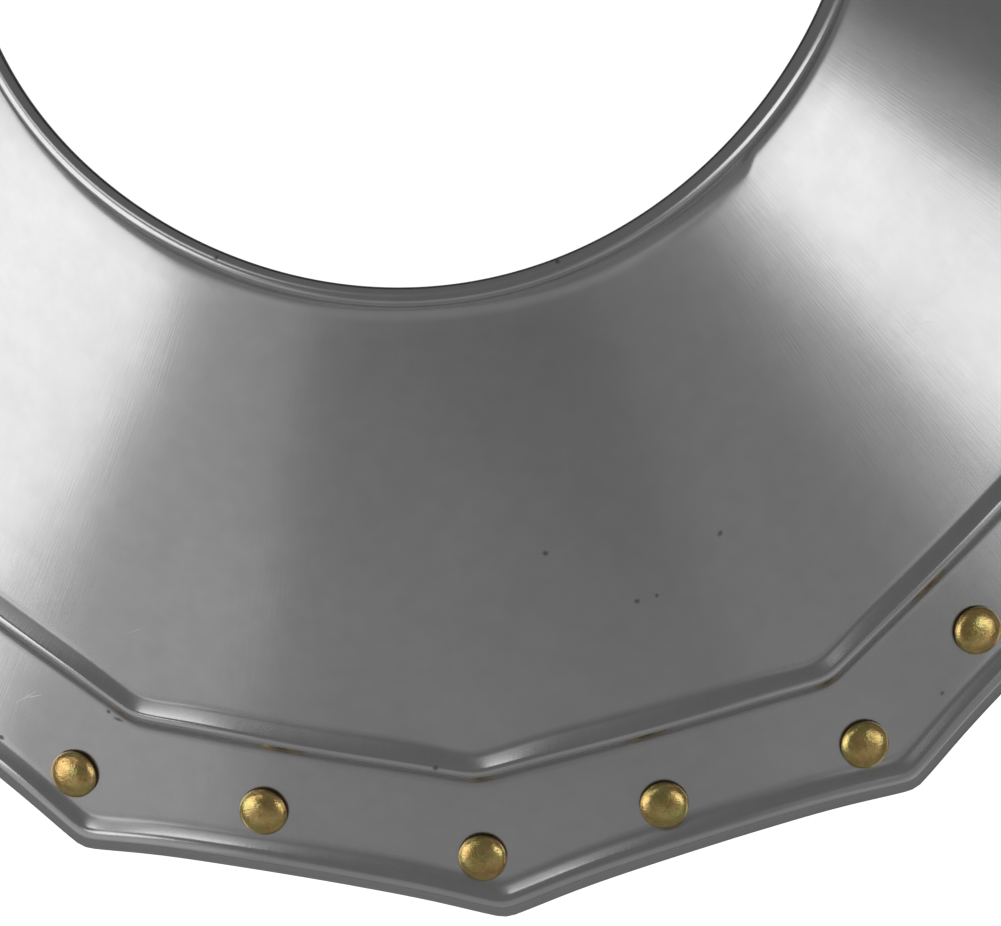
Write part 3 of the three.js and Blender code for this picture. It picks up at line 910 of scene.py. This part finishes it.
def cut(piece, cutter):
    """Cuts one flat piece with another and keeps the result as plain mesh."""
    step = piece.modifiers.new("slot", "BOOLEAN")
    step.object = cutter
    step.solver = "EXACT"
    graph = bpy.context.evaluated_depsgraph_get()
    mesh = bpy.data.meshes.new_from_object(piece.evaluated_get(graph))
    piece.modifiers.clear()
    piece.data = mesh
    mesh.set_sharp_from_angle(angle=math.radians(50))
    bpy.data.objects.remove(cutter)


def wrap_piece(piece, side):
    """Wraps a flat piece round the right (1) or the left (-1) of the flank."""
    for vertex in piece.data.vertices:
        vertex.co = wrap(*vertex.co, side)
    if side > 0:
        piece.data.flip_normals()


def strap_path():
    """Middle of a strap: flat from its rivet, up over the buckle's hinge bar and down to its tip."""
    rest = FRONT_BAR_PLACE - BUCKLE_WIRE
    corners = [
        (STRAP_START, LYING, 0.0),
        (rest, LYING, 0.004),
        (BAR_PLACE + LOOP_RADIUS + LEATHER, OVER_LOOP - 0.4 * LEATHER, 0.003),
        (BAR_PLACE, OVER_LOOP, 0.002),
        (BAR_PLACE - 1.6 * LOOP_RADIUS, OVER_LOOP - 0.5 * LEATHER, 0.003),
        (BAR_PLACE - 3.4 * LOOP_RADIUS, OVER_TAB + LEATHER + CLEARANCE, 0.004),
        (BAR_PLACE - STRAP_TIP_LENGTH, OVER_TAB + LEATHER + CLEARANCE, 0.0),
    ]
    return rounded(corners, closed=False)


def tab_path():
    """Middle of a buckle tab, folded round the buckle's hinge bar."""
    end = BAR_PLACE - TAB_LENGTH
    corners = [(end, LYING, 0.0)]
    for step in range(TAB_FOLD_STEPS + 1):
        turn = -math.pi / 2 + math.pi * step / TAB_FOLD_STEPS
        along = BAR_PLACE + LOOP_RADIUS * math.cos(turn)
        corners.append((along, BAR_HEIGHT + LOOP_RADIUS * math.sin(turn), 0.0))
    corners.append((BAR_PLACE - 1.7 * LOOP_RADIUS, OVER_TAB + 0.3 * LEATHER, 0.002))
    corners.append((BAR_PLACE - 2.6 * LOOP_RADIUS, OVER_TAB, 0.002))
    corners.append((end, OVER_TAB, 0.0))
    return rounded(corners, closed=False)


def eased_ends(path):
    """Adds points close to both ends, so that a round end is drawn smoothly."""
    points = divided(path, LEATHER_STEP)
    first = [points[0].lerp(points[1], share) for share in (0.03, 0.18, 0.45)]
    last = [points[-1].lerp(points[-2], share) for share in (0.45, 0.18, 0.03)]
    return [points[0], *first, *points[1:-1], *last, points[-1]]


def add_strap(side_name, side):
    tip = BAR_PLACE - STRAP_TIP_LENGTH
    path = eased_ends(strap_path())
    strap = flat_band(f"{side_name}_strap_shaped", path, STRAP_WIDTH, tip, STRAP_START)
    slot_end = FRONT_BAR_PLACE - 2.1 * BUCKLE_WIRE
    cut(strap, slot_cutter(PRONG_WIDTH + PRONG_ROOM, BAR_PLACE + LOOP_RADIUS, slot_end))
    wrap_piece(strap, side)
    dress(strap, BROWN_LEATHER, "leather", f"{side_name}_strap")


def add_tab(side_name, side):
    end = BAR_PLACE - TAB_LENGTH
    beyond_fold = BAR_PLACE + TAB_LENGTH
    path = eased_ends(tab_path())
    width = STRAP_WIDTH - 2 * CLEARANCE
    tab = flat_band(f"{side_name}_buckle_tab_shaped", path, width, end, beyond_fold)
    slot_start = BAR_PLACE - 1.7 * LOOP_RADIUS
    slot_end = BAR_PLACE + 3 * LOOP_RADIUS
    cut(tab, slot_cutter(PRONG_WIDTH + PRONG_ROOM, slot_start, slot_end))
    wrap_piece(tab, side)
    dress(tab, BROWN_LEATHER, "leather", f"{side_name}_buckle_tab")


def buckle_path():
    """Middle of the buckle's wire, a rounded rectangle drawn flat as [across, along]."""
    half = STRAP_WIDTH / 2 + BUCKLE_SIDE_ROOM + BAR_RADIUS
    corners = [
        (-half, BAR_PLACE, 0.0016), (half, BAR_PLACE, 0.0016),
        (half, FRONT_BAR_PLACE, 0.0042), (-half, FRONT_BAR_PLACE, 0.0042),
    ]
    return rounded(corners, closed=True)


def add_buckle(side_name, side):
    path = divided([*buckle_path(), buckle_path()[0]], WIRE_STEP)[:-1]
    count = len(path)
    rings = []
    hollows = []
    turns = [2 * math.pi * step / WIRE_SIDES for step in range(WIRE_SIDES)]
    for index, point in enumerate(path):
        direction = (path[(index + 1) % count] - path[index - 1]).normalized()
        outwards = Vector((direction.y, -direction.x))
        ring = []
        for turn in turns:
            flat = point + outwards * (BAR_RADIUS * math.cos(turn))
            height = BAR_HEIGHT + BAR_RADIUS * math.sin(turn)
            ring.append(wrap(flat.x, flat.y, height, side))
            # The wire's lower half is darkened: painted shade.
            hollows.append(max(0.0, -math.sin(turn)) * 0.6)
        rings.append(ring)
    buckle = loft(f"{side_name}_buckle_shaped", rings, closed=True, layers={"hollow": hollows})
    dress(buckle, BRASS, "brass", f"{side_name}_buckle")


def prong_path():
    """Middle of the prong: an eye round the hinge bar, then an arm over the front bar."""
    radius = BAR_RADIUS + CLEARANCE + PRONG_THICKNESS / 2
    corners = []
    for step in range(PRONG_EYE_STEPS + 1):
        turn = math.radians(-190 + 280 * step / PRONG_EYE_STEPS)
        along = BAR_PLACE + radius * math.cos(turn)
        corners.append((along, BAR_HEIGHT + radius * math.sin(turn), 0.0))
    corners.reverse()
    arm = BAR_HEIGHT + radius
    corners.insert(0, (FRONT_BAR_PLACE + 1.2 * BAR_RADIUS, arm - 0.00015, 0.0))
    return rounded(corners, closed=False)


def add_prong(side_name, side):
    path = divided(prong_path(), PRONG_STEP)
    rings = []
    hollows = []
    ends = (0, len(path) - 1)
    for index, (point, direction) in enumerate(band_stations(path)):
        over = Vector((-direction.y, direction.x))
        slimmer = 0.72 + 0.28 * min(1.0, index / 12)
        tip = 0.55 if index in ends else 1.0
        width = PRONG_WIDTH * slimmer * tip
        thick = PRONG_THICKNESS * (0.85 + 0.15 * slimmer) * tip
        soft = 0.0005
        ring = []
        corners = [
            (-width / 2, -thick / 2, soft), (width / 2, -thick / 2, soft),
            (width / 2, thick / 2, soft), (-width / 2, thick / 2, soft),
        ]
        for across, rise in rounded(corners, closed=True):
            spot = point + over * rise
            ring.append(wrap(across, spot.x, spot.y, side))
            hollows.append(0.1)
        rings.append(ring)
    prong = loft(f"{side_name}_prong_shaped", rings, layers={"hollow": hollows})
    dress(prong, BRASS, "brass", f"{side_name}_prong")


def add_side(side_name, side):
    add_strap(side_name, side)
    add_tab(side_name, side)
    add_buckle(side_name, side)
    add_prong(side_name, side)
    angle, distance = strap_place(0, STRAP_START - STRAP_RIVET_INSET)
    add_rivet(f"{side_name}_strap_rivet", LYING + LEATHER / 2, side * angle, distance, 31 + side)
    angle, distance = strap_place(0, BAR_PLACE - TAB_LENGTH + TAB_RIVET_INSET)
    add_rivet(f"{side_name}_tab_rivet", OVER_TAB + LEATHER / 2, side * angle, distance, 35 + side)


# Studio

FLOOR_REACH = 4.0
FLOOR_COLOUR = (0.55, 0.55, 0.55, 1)
WORLD_COLOUR = (0.15, 0.15, 0.152, 1)
LIGHT_AIM = Vector((0, 0, 0.04))
LIGHT_DISTANCE = 1.3

# Soft boxes: azimuth and elevation in degrees, width, height, brightness
SOFT_BOXES = {
    "left_soft_box": (-78, 28, 1.16, 1.1, 1.25),
    "left_high_box": (-107, 65, 0.38, 0.40, 0.95),
    "left_fill": (-39, 26, 0.40, 0.6, 0.17),
    "right_soft_box": (66, 30, 0.47, 0.9, 1.08),
    "right_soft_edge": (67, 30, 0.84, 1.0, 0.2),
    "right_fill": (36, 30, 0.6, 0.9, 0.07),
    "right_low_fill": (40, 6, 0.45, 0.2, 0.3),
    "front_fill": (-8, 18, 2.2, 0.66, 0.12),
}

# The camera's place, one metre from the spot that it looks at, and its turn about its view
CAMERA_AZIMUTH = 20.94
CAMERA_ELEVATION = 75.19
CAMERA_ROLL = math.radians(24.92)
CAMERA_TARGET = Vector((0.00706, -0.0803, 0.04))
CAMERA_SENSOR = 36
CAMERA_LENS = 227.1


def add_floor():
    """A plain pale floor, a little brighter to the camera than to the steel."""
    mesh = bpy.data.meshes.new("floor")
    corners = [(FLOOR_REACH * x, FLOOR_REACH * y, 0) for x, y in ((-1, -1), (1, -1), (1, 1), (-1, 1))]
    mesh.from_pydata(corners, [], [(0, 1, 2, 3)])
    floor = bpy.data.objects.new("floor", mesh)
    bpy.context.scene.collection.objects.link(floor)
    material, tree, shader = new_finish("pale_floor")
    shader.inputs["Base Color"].default_value = FLOOR_COLOUR
    shader.inputs["Roughness"].default_value = 0.9
    shader.inputs["Specular IOR Level"].default_value = 0.0
    shader.inputs["Emission Color"].default_value = (1, 1, 1, 1)
    seen = add_node(tree, "ShaderNodeLightPath").outputs["Is Camera Ray"]
    connect(tree, math_node(tree, "MULTIPLY", seen, 1.0), shader.inputs["Emission Strength"])
    mesh.materials.append(material)


def direction_to(azimuth, elevation):
    """Unit vector from the gorget; azimuth 0 is in front of it, 90 on its right."""
    turn = math.radians(azimuth)
    rise = math.radians(elevation)
    return Vector((math.cos(rise) * math.sin(turn), -math.cos(rise) * math.cos(turn), math.sin(rise)))


def add_soft_box(name, azimuth, elevation, width, height, brightness):
    light = bpy.data.lights.new(name, "AREA")
    light.shape = "RECTANGLE"
    light.size = width
    light.size_y = height
    light.energy = brightness * math.pi * width * height
    holder = bpy.data.objects.new(name, light)
    towards = direction_to(azimuth, elevation)
    holder.location = LIGHT_AIM + towards * LIGHT_DISTANCE
    holder.rotation_euler = towards.to_track_quat("Z", "Y").to_euler()
    bpy.context.scene.collection.objects.link(holder)


def add_light():
    for name, settings in SOFT_BOXES.items():
        add_soft_box(name, *settings)
    world = bpy.data.worlds.new("studio")
    world.use_nodes = True
    world.node_tree.nodes["Background"].inputs["Color"].default_value = WORLD_COLOUR
    bpy.context.scene.world = world
    bpy.context.scene.view_settings.view_transform = "Standard"


def add_camera():
    """The photograph's view: close to straight down, from the front and a little right."""
    lens = bpy.data.cameras.new("camera")
    lens.sensor_width = CAMERA_SENSOR
    lens.lens = CAMERA_LENS
    camera = bpy.data.objects.new("camera", lens)
    back = direction_to(CAMERA_AZIMUTH, CAMERA_ELEVATION)
    azimuth = math.radians(CAMERA_AZIMUTH)
    level = Vector((math.cos(azimuth), math.sin(azimuth), 0))
    upwards = back.cross(level)
    right = level * math.cos(CAMERA_ROLL) - upwards * math.sin(CAMERA_ROLL)
    above = level * math.sin(CAMERA_ROLL) + upwards * math.cos(CAMERA_ROLL)
    turn = Matrix((right, above, back)).transposed().to_4x4()
    camera.matrix_world = Matrix.Translation(CAMERA_TARGET + back) @ turn
    bpy.context.scene.collection.objects.link(camera)
    bpy.context.scene.camera = camera


add_plate("front", 0.0)
add_plate("back", math.pi)
add_rivet_row("front", 0.0, FRONT_RIVETS)
add_rivet_row("back", math.pi, {})
add_side("right", 1)
add_side("left", -1)
add_floor()
add_light()
add_camera()
